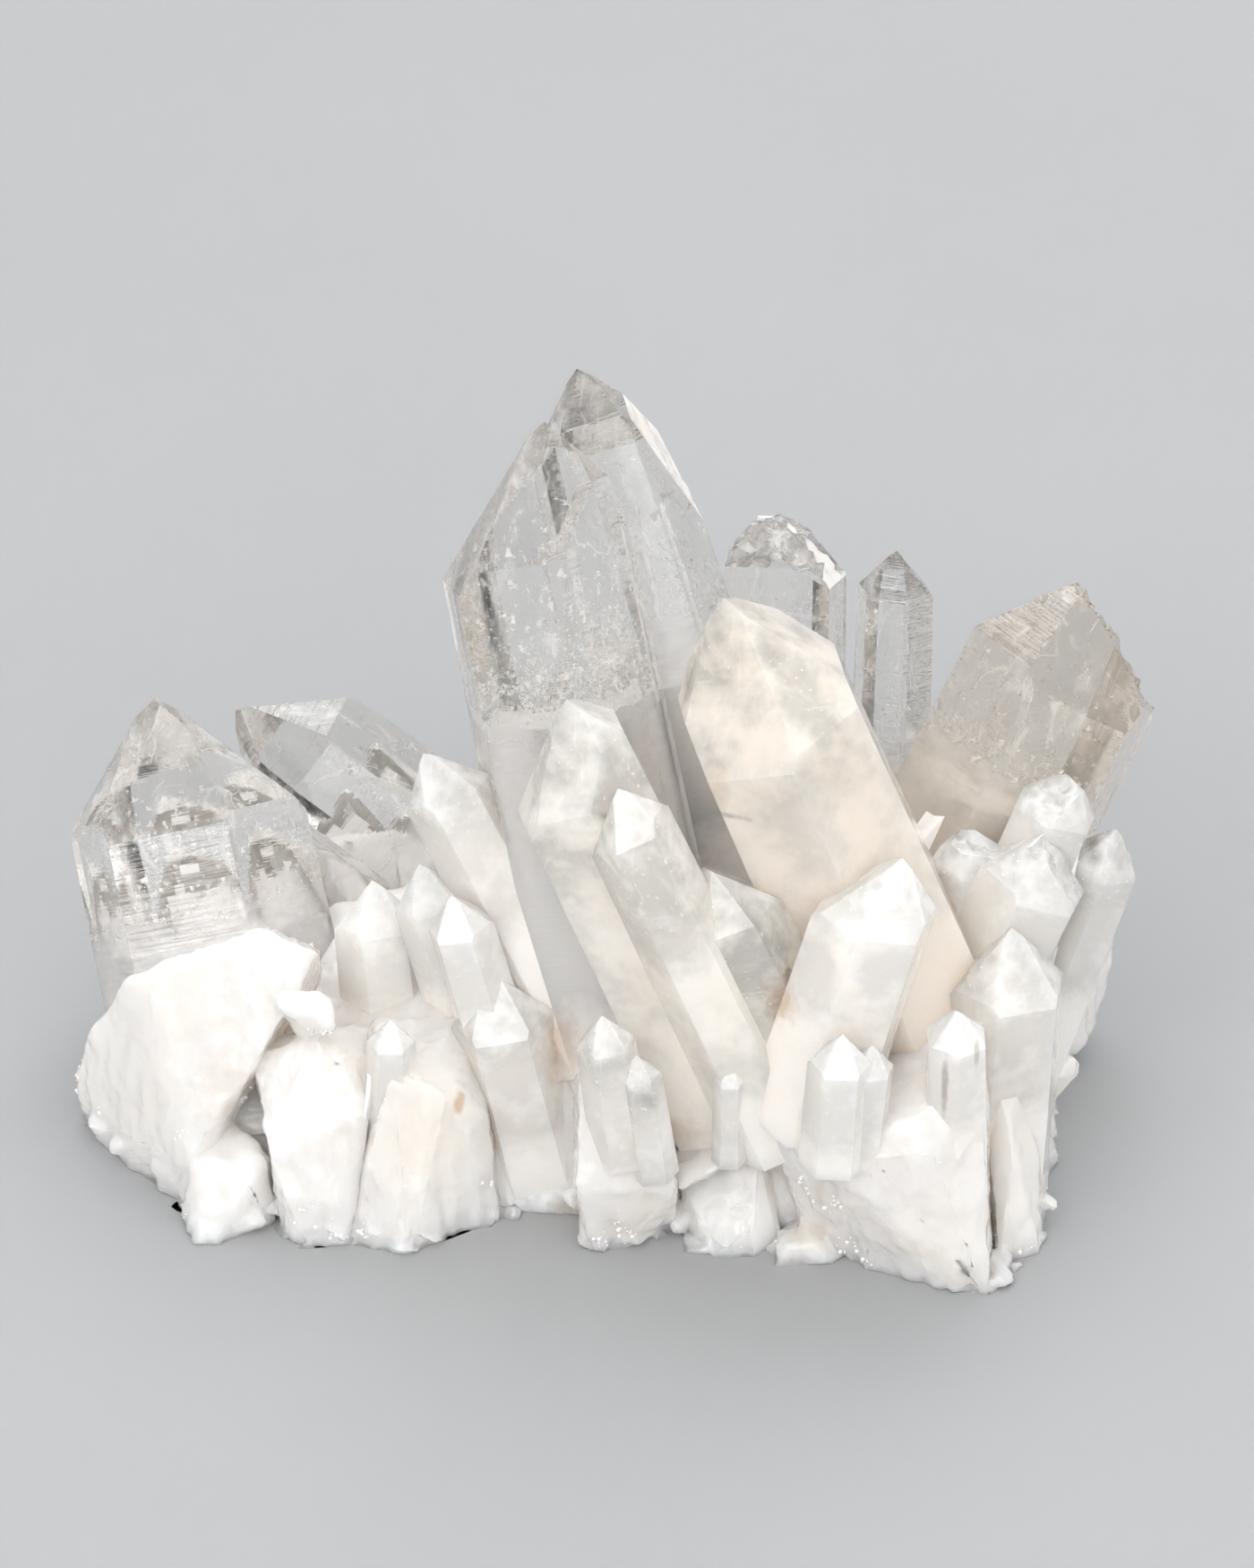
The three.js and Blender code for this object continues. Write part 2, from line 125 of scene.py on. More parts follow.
class Crystal:
    """One crystal as the part has it, with the look that its faces take."""

    def __init__(self, tip, left, back, width, look, shift=(0, 0), twist=0, **changes):
        self.tip = Vector(tip) - MIDDLE
        self.width = width
        self.look = {**look, **changes}
        slope_left, slope_back = (math.tan(math.radians(angle)) for angle in (left, back))
        self.up = Vector((-slope_left, slope_back, 1)).normalized()
        self.front = (Vector((0, -1, 0)) + self.up * self.up.y).normalized()
        self.right = self.up.cross(self.front)
        self.apothem = width / 2 * math.cos(math.pi / 6)
        self.shoulder = self.apothem / math.tan(TIP_ANGLE)
        self.cloud_start = self.look["clear"] + CLOUD_SHARE * self.look["fade"]
        self.axis = self.tip - self.right * shift[0] - self.front * shift[1] - self.up * self.shoulder
        self.turns = [math.radians(twist) + math.pi / 3 * i for i in range(6)]
        normals = []
        reaches = []
        for i, turn in enumerate(self.turns):
            side = self.front * math.cos(turn) + self.right * math.sin(turn)
            small_face = (i % 2) * SMALL_FACE_SHARE * width
            planes = ((PRISM_ANGLE, self.axis, self.apothem), (TIP_ANGLE, self.tip, small_face))
            for angle, through, out in planes:
                normal = side * math.cos(angle) + self.up * math.sin(angle)
                normals.append(normal)
                reaches.append(normal.dot(through) + out)
        self.normals = np.array(normals)
        self.reaches = np.array(reaches)

    def owns(self, middles, normals):
        """Which faces, given by middles and normals, are flat, broken or likely faces of the crystal."""
        below = (np.array(self.tip) - middles) @ np.array(self.up)
        off_axis = np.linalg.norm(np.cross(middles - np.array(self.axis), np.array(self.up)), axis=1)
        near = (off_axis < self.width * AXIS_REACH + AXIS_SPREAD * np.maximum(below, 0)) & (below > -1)
        same_way = normals @ self.normals.T > SAME_WAY
        out = middles @ self.normals.T - self.reaches
        flat = near & (same_way & (np.abs(out) < PLANE_FIT)).any(axis=1)
        cut = (out[:, 1::2] < -PLANE_FIT).all(axis=1) & (normals @ np.array(self.up) > BROKEN_WAY)
        beside = (off_axis < self.width * BESIDE_REACH) & (below > 0) & same_way.any(axis=1)
        return flat, near & cut & (below < self.shoulder + 1), beside

    def inside(self, points, inset):
        """Which points are inside this crystal and further than inset from its faces."""
        return (points @ self.normals.T < self.reaches - inset).all(axis=1)

    def grid(self, across, depth):
        """The points at places right and front of the prism's axis, and at depths below the tip."""
        middle = np.array(self.axis + self.up * self.shoulder)
        level = across @ np.array([self.right, self.front])
        return middle + level - np.outer(depth, np.array(self.up))


# Looks: how far below its tip a crystal is clear, the length that it closes in below that, how clear its skin
# is, how many veils there are, how strong the growth lines are, and the colours of its glass and its cloud.
WATER = dict(clear=20, fade=12, clarity=1, veil=1, lines=0.35, glass=CLEAR, milk=MILK)
CLOUD = dict(clear=4, fade=9, clarity=0.27, veil=0.6, lines=0.25, glass=WARM, milk=MILK)
HONEY = dict(clear=8, fade=18, clarity=0.4, veil=1.5, lines=0.3, glass=WARM, milk=CREAM)
FROST = dict(clear=1, fade=7, clarity=0.22, veil=0.3, lines=0.15, glass=CLEAR, milk=MILK)
BUBBLE = dict(clear=2, fade=10, clarity=0.4, veil=0.6, lines=0.1, glass=CLEAR, milk=GREY)

# Each crystal: its tip, how far it leans to the left and to the back in degrees, its width across corners,
# its look, how far its tip is off its axis to the right and to the front, its twist in degrees, and what it
# changes in its look.
CRYSTALS = {
    "left_end": Crystal((-47.2, 20, 37.2), 14.2, 33, 25.2, WATER, (-0.6, 0), clear=22, fade=14, veil=0.6),
    "left_back": Crystal((-39.3, 26, 31.5), 55, 20, 16.6, WATER, (-0.4, 0), clear=22, veil=0.5, twist=18),
    "left_inner": Crystal((-18.5, 0, 44), 28.5, 20, 9.4, CLOUD, (-0.4, 0), clear=5, twist=20),
    "tall_front": Crystal(
        (-6.2, 14, 74.7), 11.8, 20, 20, WATER, (4, 0), clear=22, fade=24, veil=3, twist=-15
    ),
    "tall_back": Crystal(
        (-3, 24, 74.8), 18.9, 22, 14.2, WATER, (0, 2), clear=30, veil=2, lines=0.6, twist=5
    ),
    "middle": Crystal((11.6, -5, 66), 21.6, 3, 19, HONEY, (-0.4, -3.2), twist=-21),
    "centre": Crystal((-3.9, -10, 57.4), 23.2, 6, 15, HONEY, (2.8, 0), milk=PEARL, twist=-16),
    "front_right": Crystal((29.2, -20, 45.3), -14.7, 4, 12.5, FROST, (1, 0), clear=1, fade=10, twist=10),
    "right_end": Crystal(
        (52.3, 20, 53.7), -27, 20, 22, WATER, (0, -1.2), clear=24, veil=0.5, glass=SMOKE, milk=CREAM, twist=2
    ),
    "centre_twin": Crystal((1.2, -17, 51.6), 23.2, 6, 9, HONEY, (0.8, 0), milk=PEARL, twist=10),
    "centre_low": Crystal((9.6, -16, 41.3), 24.1, 6, 10.5, HONEY, (-0.6, 0), milk=PEARL),
    "ramp_top": Crystal((47.2, -1, 42.6), -20, 8, 9, BUBBLE, twist=14),
    "ramp_side": Crystal((51.8, -2, 36), -18.1, 8, 8, BUBBLE, twist=25),
    "ramp_front": Crystal((45.4, -7, 39.4), -22.3, 6, 12, BUBBLE, twist=10),
    "right_wall": Crystal((40.7, -14, 32.4), -2.6, 4, 12.5, CLOUD, milk=GREY, twist=20),
    "back_broken": Crystal((18.7, 26, 59.8), -0.9, 12, 13, WATER, twist=12),
    "back_small": Crystal((30.2, 27, 50.9), -0.9, 12, 8.2, WATER, veil=0.4, lines=1.5, twist=-20),
    "saddle": Crystal((37.3, -4, 38.6), -3.6, 8, 9, BUBBLE, twist=12),
    "front_edge": Crystal((34.6, -27, 31.8), 1.6, 0, 6.5, FROST, twist=30),
    "front_milky_a": Crystal((23.3, -30, 31.2), -2.5, 0, 6.5, FROST),
    "front_milky_b": Crystal((26.3, -29, 29), -4.9, 0, 5, FROST, twist=15),
    "pair_tall": Crystal((-0.4, -25, 29.7), 6.6, 0, 6, CLOUD, twist=10),
    "pair_short": Crystal((3, -26, 25.5), 7.4, 0, 4.5, CLOUD),
    "front_left": Crystal((-11.7, -13, 26.1), 11.8, 2, 10.6, CLOUD),
    "ridge_back": Crystal((-19, -4, 33.1), 16.6, 10, 8, FROST, twist=10),
    "ridge_front": Crystal((-15.5, -11, 34.2), 14.2, 6, 7, FROST, twist=-10),
    "stub": Crystal((-21.6, -19, 24.6), -1.6, 0, 5, FROST),
    "valley": Crystal((-24, -1, 28.9), 4.7, 12, 9, FROST, twist=15),
    "bead": Crystal((12.4, -24, 22.6), 0, 0, 3.3, FROST),
    "back_a": Crystal((-28, 30, 20), 18, 48, 14, CLOUD, twist=10),
    "back_b": Crystal((1, 31, 40), 4, 42, 15, WATER, clear=12, twist=-12),
    "back_c": Crystal((8, 32, 34), -5, 46, 12, WATER, clear=10, twist=20),
    "back_d": Crystal((26, 31, 27), -20, 46, 12, CLOUD),
    "back_e": Crystal((-45, 22, 17), 42, 44, 10, CLOUD, twist=25),
    "back_f": Crystal((44, 27, 24), -34, 42, 11, WATER, clear=10, glass=SMOKE, twist=14),
    "back_g": Crystal((-21, 31, 17), 12, 62, 9, CLOUD, twist=5),
    "back_h": Crystal((-3, 33, 20), 0, 60, 10, WATER, clear=8, twist=18),
    "back_i": Crystal((17, 33, 15), -12, 66, 8, CLOUD, twist=-8),
    "back_j": Crystal((35, 29, 12), -30, 62, 9, CLOUD, twist=28),
    "back_k": Crystal((-35, 26, 9), 34, 64, 8, CLOUD),
    "back_l": Crystal((6, 34, 9), -4, 74, 7, CLOUD, twist=12),
}
# What lies on no crystal of the table: the lumps of the base, the chips and the smallest points.
BASE_LOOK = dict(clear=-1000, fade=1, clarity=0, veil=0, lines=0, glass=CLEAR, milk=SNOW)

# Edges of the lumps and the broken faces are split until they are no longer than the last of these.
SPLIT_LENGTHS = (8, 4, 2, 0.9)
SMOOTH_ROUNDS = 2
# The height of the relief on the lumps, on top of that at the rim, and on the broken faces.
LUMP_RELIEF = 0.6
RIM_RELIEF = 0.4
RIM_HEIGHT = 6
BROKEN_RELIEF = 1.4
# How many of each form of the relief there are to a millimetre: facets, flutes across and up, fine bumps.
LARGE_FACETS = 0.22
SMALL_FACETS = 0.7
FLUTES = 0.45
FLUTES_UP = 0.1
FINE = 0.9
# An edge whose faces meet at more than this angle is shown sharp.
SHARP_EDGE = math.radians(35)

# The cloud inside a crystal: its distance from the crystal's faces, how many times the length that the
# crystal closes in it reaches below the clear part, so that it ends where the skin is closed, the height of
# its ragged top in widths of the crystal, the size of its faces, and its least height above the floor.
HEART_INSET = 0.4
HEART_FADES = 2.4
HEART_WAVE = 0.07
HEART_STEP = 0.6
HEART_FLOOR = 1
# How many waves its top has to a millimetre, and how far apart in the noise the tops of two clouds are.
HEART_WAVES = 0.15
SEED_STEP = 17.3

# The milky wall where a clear crystal grew against cloudy ones: how far it is outside the clear crystal's
# faces, the size of its squares, its thickness, its least depth in the solid, and how clear the crystals
# are that get one.
WALL_GAP = 0.25
WALL_STEP = 1.0
WALL_THICKNESS = 0.3
WALL_INSET = 0.6
WALL_CLARITY = 0.9

# Flakes of the veils: how many there are in a cubic millimetre of clear quartz, their size, their thickness
# as a share of it, and their least distance from the crystal's faces.
FLAKE_DENSITY = 0.07
FLAKE_SIZE = 0.22
FLAKE_THICKNESS = 0.2
FLAKE_INSET = 0.5
# How many veils a crystal has at a veil of 1, and how far they bend.
VEIL_SHEETS = 4
VEIL_BEND = 2.5
# How much a veil leans up its crystal, how deep it is as shares of the clear part, how far off the axis and
# how wide it is in widths of the crystal, and how many bends and patches it has to a millimetre.
VEIL_UP = 0.5
VEIL_DEPTHS = (0.5, 1.0)
VEIL_OFF = 0.3
VEIL_WIDTHS = (0.4, 0.8)
BEND_SCALE = 0.12
PATCH_SCALE = 0.3
# How far flakes lean from their veil, how much they differ in size, and how far they are stretched.
FLAKE_LEAN = 0.25
FLAKE_VARIETY = 0.45
FLAKE_STRETCH = (0.6, 1.4)
# The area of a six-sided crystal's cross-section as a share of its width squared.
HEXAGON_SHARE = 0.65
# Flakes on top of a cloud: how many to a square millimetre of it, and how far they rise from it on average.
CLOUD_FLAKES = 2.5
CLOUD_RISE = 3

# Tiny points that grew on the healed lumps: how many, the size of the smallest and of the largest, how deep
# they sit as a share of their height, how far they lean from the surface's normal, and their least height
# above the floor.
GRAINS = 2000
GRAIN_SIZES = (0.08, 0.24)
GRAIN_DEPTH = 0.5
GRAIN_LEAN = 0.3
GRAIN_FLOOR = 0.7
# How tall they are in sizes of them, and how many patches they stand in to a millimetre.
GRAIN_HEIGHTS = (0.5, 1.6)
GRAIN_PATCHES = 0.16

# The skin over a cloud: how far its edge wanders up and down, from which share of the depth where it closes
# the haze sets in, and the strength of the haze.
WANDER = 6.0
HAZE_START = 0.55
HAZE = 0.45
# How strongly the healed cracks and the flecks show, and the depths of the growth lines and of the hillocks.
CRACKS = 0.18
FLECKS = 0.8
LINE_DEPTH = 0.12
HILLOCK_DEPTH = 0.04
# How far light spreads under the skin of milky quartz.
MILK_DEPTH = 7

# Rusty stains, and painted shade in slots of the surface: where each is, its half sizes and its strength.
STAINS = (
    ((-38, -17.5, 13.5), (4.5, 5, 5.5), 0.2),
    ((-4.6, -15.5, 17.5), (2, 5, 5), 0.45),
    ((-15.1, -20.9, 15.1), (0.7, 1.5, 1.3), 0.8),
    ((10.6, -15.9, 49.5), (1.4, 3, 5.5), 0.3),
    ((17.2, -21, 29.5), (2.2, 5, 3), 0.7),
    ((7.1, -20.9, 11.6), (3, 4, 2.2), 0.35),
    ((-3.4, -20.6, 1), (3, 4, 1.6), 0.4),
    ((20.7, -26.5, 2.6), (3.5, 3, 1), 0.3),
    ((21.2, -28.8, 8.5), (0.6, 2.5, 5), 0.25),
)
# Painted shade: dark marks painted where slots in the surface lie in shade.
PAINTED_SLOT_SHADE = (
    ((33.3, -30, 24.5), (0.4, 2, 4.2), 0.5),
    ((36.4, -29.7, 28), (0.3, 2, 1.8), 0.4),
    ((49.5, -3, 33.5), (1.2, 3, 1.6), 0.6),
    ((27, -21, 30.5), (1.2, 3, 1.5), 0.35),
    ((12.5, -14.5, 47.2), (2.6, 3, 0.5), 0.6),
)


def relief(point):
    """The height of the healed surface: facets in two sizes, upright flutes and fine roughness."""
    large = noise.voronoi(point * LARGE_FACETS, distance_metric="CHEBYCHEV")[0][0]
    small = noise.voronoi(point * SMALL_FACETS, distance_metric="CHEBYCHEV")[0][0]
    flutes = noise.fractal(Vector((point.x * FLUTES, point.y * FLUTES, point.z * FLUTES_UP)), 0.8, 2, 3)
    fine = noise.fractal(point * FINE, 1, 2, 4)
    return 0.9 * (0.5 - large) + 0.35 * (0.4 - small) + 0.6 * flutes + 0.15 * fine


def sort_faces(bm, owner, kind):
    """Writes on each face which crystal it belongs to, counted from 1, and what kind of face it is."""
    middles = np.array([f.calc_center_median() for f in bm.faces])
    normals = np.array([f.normal for f in bm.faces])
    owners = np.zeros(len(middles), int)
    kinds = np.full(len(middles), LUMP)
    found = [crystal.owns(middles, normals) for crystal in CRYSTALS.values()]
    for which, name in ((2, FLAT), (1, BROKEN), (0, FLAT)):
        for number, masks in enumerate(found, 1):
            owners[masks[which]] = number
            kinds[masks[which]] = name
    kinds[(normals[:, 2] < -DOWNWARDS) & (middles[:, 2] < FLOOR_FIT)] = UNDERSIDE
    for face, number, name in zip(bm.faces, owners, kinds):
        face[owner] = int(number)
        face[kind] = int(name)


def split_rough_faces(bm, kind):
    """Splits the lumps and the broken faces finely enough to carry the relief."""
    rough = (BROKEN, LUMP)
    for longest in SPLIT_LENGTHS:
        for _ in range(3):
            edges = [e for e in bm.edges if any(f[kind] in rough for f in e.link_faces)]
            edges = [e for e in edges if e.calc_length() > longest]
            if not edges:
                break
            bmesh.ops.subdivide_edges(bm, edges=edges, cuts=1)
            bmesh.ops.triangulate(bm, faces=[f for f in bm.faces if len(f.verts) > 3])


def roughen(bm, kind):
    """Rounds the lumps a little, then raises the healed relief on them and on the broken faces."""
    free = [v for v in bm.verts if all(f[kind] in (BROKEN, LUMP) for f in v.link_faces)]
    for _ in range(SMOOTH_ROUNDS):
        bmesh.ops.smooth_vert(bm, verts=free, factor=0.5, use_axis_x=True, use_axis_y=True, use_axis_z=True)
    bm.normal_update()
    moves = []
    for v in free:
        strength = BROKEN_RELIEF
        if v.link_faces[0][kind] == LUMP:
            strength = LUMP_RELIEF + RIM_RELIEF * max(0, 1 - v.co.z / RIM_HEIGHT)
        moves.append(v.normal * relief(v.co) * strength)
    for v, move in zip(free, moves):
        v.co += move
        v.co.z = max(v.co.z, 0)


def store_colours(mesh, name, colours):
    """Stores a colour for each face of the mesh under a name."""
    store = mesh.attributes.new(name, "FLOAT_COLOR", "FACE")
    store.data.foreach_set("color", np.array(colours).ravel())


def paint(mesh, owner_numbers):
    """Stores for the material where each corner is in its crystal, and the look of the face."""
    looks = [BASE_LOOK, *(c.look for c in CRYSTALS.values())]
    loops = np.zeros(len(mesh.loops), int)
    mesh.loops.foreach_get("vertex_index", loops)
    places = np.zeros(len(mesh.vertices) * 3)
    mesh.vertices.foreach_get("co", places)
    places = places.reshape(-1, 3)[loops]
    loop_owner = np.repeat(owner_numbers, [p.loop_total for p in mesh.polygons])
    growth = places.copy()
    for number, crystal in enumerate(CRYSTALS.values(), 1):
        mine = loop_owner == number
        axes = np.array([crystal.right, crystal.front, crystal.up]).T
        growth[mine] = (places[mine] - np.array(crystal.tip)) @ axes
    store = mesh.attributes.new("growth", "FLOAT_VECTOR", "CORNER")
    store.data.foreach_set("vector", growth.astype(np.float32).ravel())
    for name in ("clear", "fade", "clarity", "lines"):
        values = np.array([look[name] for look in looks], np.float32)[owner_numbers]
        mesh.attributes.new(name, "FLOAT", "FACE").data.foreach_set("value", values)
    for name in ("glass", "milk"):
        store_colours(mesh, name, np.array([(*look[name], 1) for look in looks], np.float32)[owner_numbers])


def finished_mesh(bm, name):
    """Makes the edges that are sharp enough sharp, and turns the bmesh into a mesh."""
    for edge in bm.edges:
        edge.smooth = edge.calc_face_angle(0) < SHARP_EDGE
    mesh = bpy.data.meshes.new(name)
    bm.to_mesh(mesh)
    bm.free()
    return mesh


def show(mesh, name):
    """Puts a mesh made in millimetres in the scene as a piece."""
    mesh.transform(Matrix.Scale(MM, 4))
    piece = bpy.data.objects.new(name, mesh)
    bpy.context.scene.collection.objects.link(piece)
    return piece


def solid_in_millimetres():
    """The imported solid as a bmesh."""
    bm = bmesh.new()
    bm.from_mesh(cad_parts[NODE].data)
    bmesh.ops.scale(bm, vec=(1 / MM,) * 3, verts=bm.verts)
    return bm


def solid_tree():
    """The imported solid, for finding how deep a point is in it."""
    bm = solid_in_millimetres()
    tree = BVHTree.FromBMesh(bm)
    bm.free()
    return tree


def build_cluster():
    """The shown cluster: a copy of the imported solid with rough, rounded lumps and painted faces."""
    bm = solid_in_millimetres()
    bmesh.ops.remove_doubles(bm, verts=bm.verts, dist=WELD)
    bm.normal_update()
    owner = bm.faces.layers.int.new("owner")
    kind = bm.faces.layers.int.new("kind")
    sort_faces(bm, owner, kind)
    split_rough_faces(bm, kind)
    roughen(bm, kind)
    owner_numbers = np.array([f[owner] for f in bm.faces])
    for face in bm.faces:
        face.smooth = face[kind] in (BROKEN, LUMP)
    mesh = finished_mesh(bm, "crystal_cluster")
    paint(mesh, owner_numbers)
    mesh.materials.clear()
    return show(mesh, "crystal_cluster")


def ragged_top(crystal, points, seed):
    """How much higher than its look says the cloud reaches at points in a crystal."""
    offset = Vector((seed * SEED_STEP, 0, 0))
    heights = [noise.fractal(Vector(p) * HEART_WAVES + offset, 1, 2, 3) for p in points]
    return np.array(heights) * HEART_WAVE * crystal.width


def tip_depth(crystal, points, inset):
    """How far below the tip's level a crystal's tip faces, set in, cross the lines through the points."""
    tip_normals = crystal.normals[1::2]
    out = points @ tip_normals.T - crystal.reaches[1::2] + inset
    return (out / (tip_normals @ np.array(crystal.up))).max(axis=1)


def solid_below(point, down, tree):
    """How far the solid reaches from a point in a direction, or infinity where the point isn't inside it."""
    surface, normal, _, _ = tree.find_nearest(point)
    if (point - surface).dot(normal) > 0:
        return math.inf
    return tree.ray_cast(point, down)[3] or math.inf


def cloudy_heart(crystal, seed, tree):
    """The corners and faces of the cloud in a crystal: a prism just inside its faces, with a ragged top."""
    reach = crystal.apothem - HEART_INSET
    rings = max(3, round(reach / HEART_STEP))
    sides = 6 * max(2, rings // 2)
    across = [(0, 0)]
    for ring in range(1, rings + 1):
        for i in range(sides):
            turn = crystal.turns[0] + math.tau * i / sides
            from_flat = (math.tau * i / sides + math.pi / 6) % (math.pi / 3) - math.pi / 6
            out = reach * ring / rings / math.cos(from_flat)
            across.append((math.sin(turn) * out, math.cos(turn) * out))
    across = np.array(across)
    level = crystal.grid(across, np.zeros(len(across)))
    start = crystal.cloud_start
    top = np.maximum(start - ragged_top(crystal, level, seed), tip_depth(crystal, level, HEART_INSET))
    lean = reach * math.sqrt(1 - crystal.up.z ** 2)
    lowest = (crystal.tip.z - HEART_FLOOR - lean) / crystal.up.z
    foot = min(crystal.look["clear"] + HEART_FADES * crystal.look["fade"], lowest)
    rim = across[-sides:]
    for below, point in zip(top[-sides:], crystal.grid(rim, top[-sides:] + HEART_INSET)):
        foot = min(foot, below + solid_below(Vector(point), -crystal.up, tree) - HEART_INSET)
    top = np.minimum(top, foot - HEART_INSET)
    foot_rim = crystal.grid(rim, np.full(sides, foot))
    foot_middle = crystal.grid(across[:1], np.array([foot]))
    corners = np.concatenate([crystal.grid(across, top), foot_rim, foot_middle])
    faces = []
    for i in range(sides):
        j = (i + 1) % sides
        faces.append((0, 1 + i, 1 + j))
        for ring in range(rings):
            inner = 1 + ring * sides
            faces.append((inner + i, inner + sides + i, inner + sides + j, inner + j))
        faces.append((len(corners) - 1, 1 + rings * sides + j, 1 + rings * sides + i))
    return corners, faces


def keep_inside(points, tree, inset):
    """Moves points that are outside the solid, or nearer to its surface than inset, to inset below it."""
    for i, point in enumerate(points):
        surface, normal, _, _ = tree.find_nearest(Vector(point))
        if (Vector(point) - surface).dot(normal) > -inset:
            points[i] = surface - normal * inset


def is_cloudy_inside(point, own, tree):
    """Whether a point is well inside the solid, and not in the clear part of another crystal."""
    surface, normal, _, _ = tree.find_nearest(point)
    if (point - surface).dot(normal) > -WALL_INSET:
        return False
    for other in CRYSTALS.values():
        if other is own or other.look["clarity"] < WALL_CLARITY:
            continue
        is_clear = (other.tip - point).dot(other.up) < other.cloud_start
        if is_clear and other.inside(np.array([point]), 0)[0]:
            return False
    return True


def milky_wall(bm, crystal, tree):
    """Adds the wall round a clear crystal, where it isn't open to the air."""
    rows = round(crystal.cloud_start / WALL_STEP) + 2
    reach = (crystal.apothem + WALL_GAP) / math.cos(math.pi / 6)
    columns = round(reach / WALL_STEP)
    across = []
    for turn in crystal.turns:
        corners = (turn - math.pi / 6, turn + math.pi / 6)
        start, end = (Vector((math.sin(corner) * reach, math.cos(corner) * reach)) for corner in corners)
        across += [start.lerp(end, column / columns) for column in range(columns)]
    across = np.array(across)
    verts = []
    for row in range(rows):
        ring = [Vector(p) for p in crystal.grid(across, np.full(len(across), row * WALL_STEP))]
        verts.append([bm.verts.new(p) if is_cloudy_inside(p, crystal, tree) else None for p in ring])
    faces = []
    for upper, lower in zip(verts, verts[1:]):
        for i in range(len(upper)):
            corners = (upper[i - 1], upper[i], lower[i], lower[i - 1])
            if None not in corners:
                faces.append(bm.faces.new(corners))
    bmesh.ops.recalc_face_normals(bm, faces=faces)
    bmesh.ops.solidify(bm, geom=faces, thickness=WALL_THICKNESS)


def build_walls(tree):
    """One mesh of the milky walls round all the clear crystals."""
    bm = bmesh.new()
    for crystal in CRYSTALS.values():
        if crystal.look["clarity"] >= WALL_CLARITY:
            milky_wall(bm, crystal, tree)
    bmesh.ops.delete(bm, geom=[v for v in bm.verts if not v.link_faces], context="VERTS")
    mesh = finished_mesh(bm, "milky_walls")
    store_colours(mesh, "milk", [(*MILK, 1)] * len(mesh.polygons))
    return show(mesh, "milky_walls")


def build_hearts(tree):
    """One mesh of the clouds inside all the crystals, with their colours."""
    corners = []
    faces = []
    colours = []
    for seed, crystal in enumerate(CRYSTALS.values()):
        own_corners, own_faces = cloudy_heart(crystal, seed, tree)
        keep_inside(own_corners, tree, HEART_INSET)
        faces += [[len(corners) + i for i in face] for face in own_faces]
        corners += own_corners.tolist()
        colours += [(*crystal.look["milk"], 1)] * len(own_faces)
    mesh = bpy.data.meshes.new("cloudy_hearts")
    mesh.from_pydata(corners, [], faces)
    mesh.polygons.foreach_set("use_smooth", [True] * len(faces))
    store_colours(mesh, "milk", colours)
    return show(mesh, "cloudy_hearts")


def unit(vectors):
    """The vectors at a length of one."""
    return vectors / np.linalg.norm(vectors, axis=-1, keepdims=True)


def cloud_flakes(crystal, seed, random):
    """Places of flakes over the ragged top of a crystal's cloud, ever sparser upwards, and directions."""
    reach = crystal.width / 2
    count = int(CLOUD_FLAKES * crystal.width ** 2 * crystal.look["clarity"])
    across = random.uniform(-reach, reach, (count, 2))
    top = crystal.cloud_start - ragged_top(crystal, crystal.grid(across, np.zeros(count)), seed)
    places = crystal.grid(across, top - random.exponential(CLOUD_RISE, count))
    return places, unit(random.normal(size=(count, 3)))


def veil_flakes(crystal, count, random):
    """Places of the flakes of one bent veil in a crystal, patchy as a healed crack is, and directions."""
    way = unit(random.normal(size=3) + VEIL_UP * np.array(crystal.up))
    side = unit(np.cross(way, random.normal(size=3)))
    other = np.cross(way, side)
    depth = random.uniform(*VEIL_DEPTHS) * crystal.cloud_start
    middle = crystal.grid(random.uniform(-VEIL_OFF, VEIL_OFF, (1, 2)) * crystal.width, np.array([depth]))
    reach = random.uniform(*VEIL_WIDTHS) * crystal.width
    spread = random.uniform(-reach, reach, (4 * count, 2))
    offset = random.uniform(0, 100, 3)
    bend = [noise.fractal(Vector(offset) + Vector((*p, 0)) * BEND_SCALE, 1, 2, 2) for p in spread]
    patch = [noise.fractal(Vector(offset) - Vector((*p, 0)) * PATCH_SCALE, 0.7, 2, 4) for p in spread]
    kept = np.array(patch) > np.sort(patch)[-count]
    places = middle + spread @ np.array([side, other]) + np.outer(bend, way) * VEIL_BEND
    directions = unit(way + FLAKE_LEAN * random.normal(size=(len(places), 3)))
    return places[kept], directions[kept]


def flake_places(tree):
    """Places and directions of all the flakes, each well inside its crystal."""
    places = []
    directions = []
    for seed, crystal in enumerate(CRYSTALS.values()):
        random = np.random.default_rng(seed)
        room = HEXAGON_SHARE * crystal.width ** 2 * crystal.cloud_start
        count = int(FLAKE_DENSITY * room * crystal.look["veil"])
        sheets = max(1, round(VEIL_SHEETS * crystal.look["veil"]))
        groups = [veil_flakes(crystal, count // sheets + 1, random) for _ in range(sheets)]
        groups.append(cloud_flakes(crystal, seed, random))
        own_places, own_directions = (np.concatenate(parts) for parts in zip(*groups))
        kept = crystal.inside(own_places, FLAKE_INSET)
        for i in np.flatnonzero(kept):
            surface, normal, _, _ = tree.find_nearest(Vector(own_places[i]))
            kept[i] = (Vector(own_places[i]) - surface).dot(normal) < -FLAKE_INSET
        places.append(own_places[kept])
        directions.append(own_directions[kept])
    return np.concatenate(places), np.concatenate(directions)


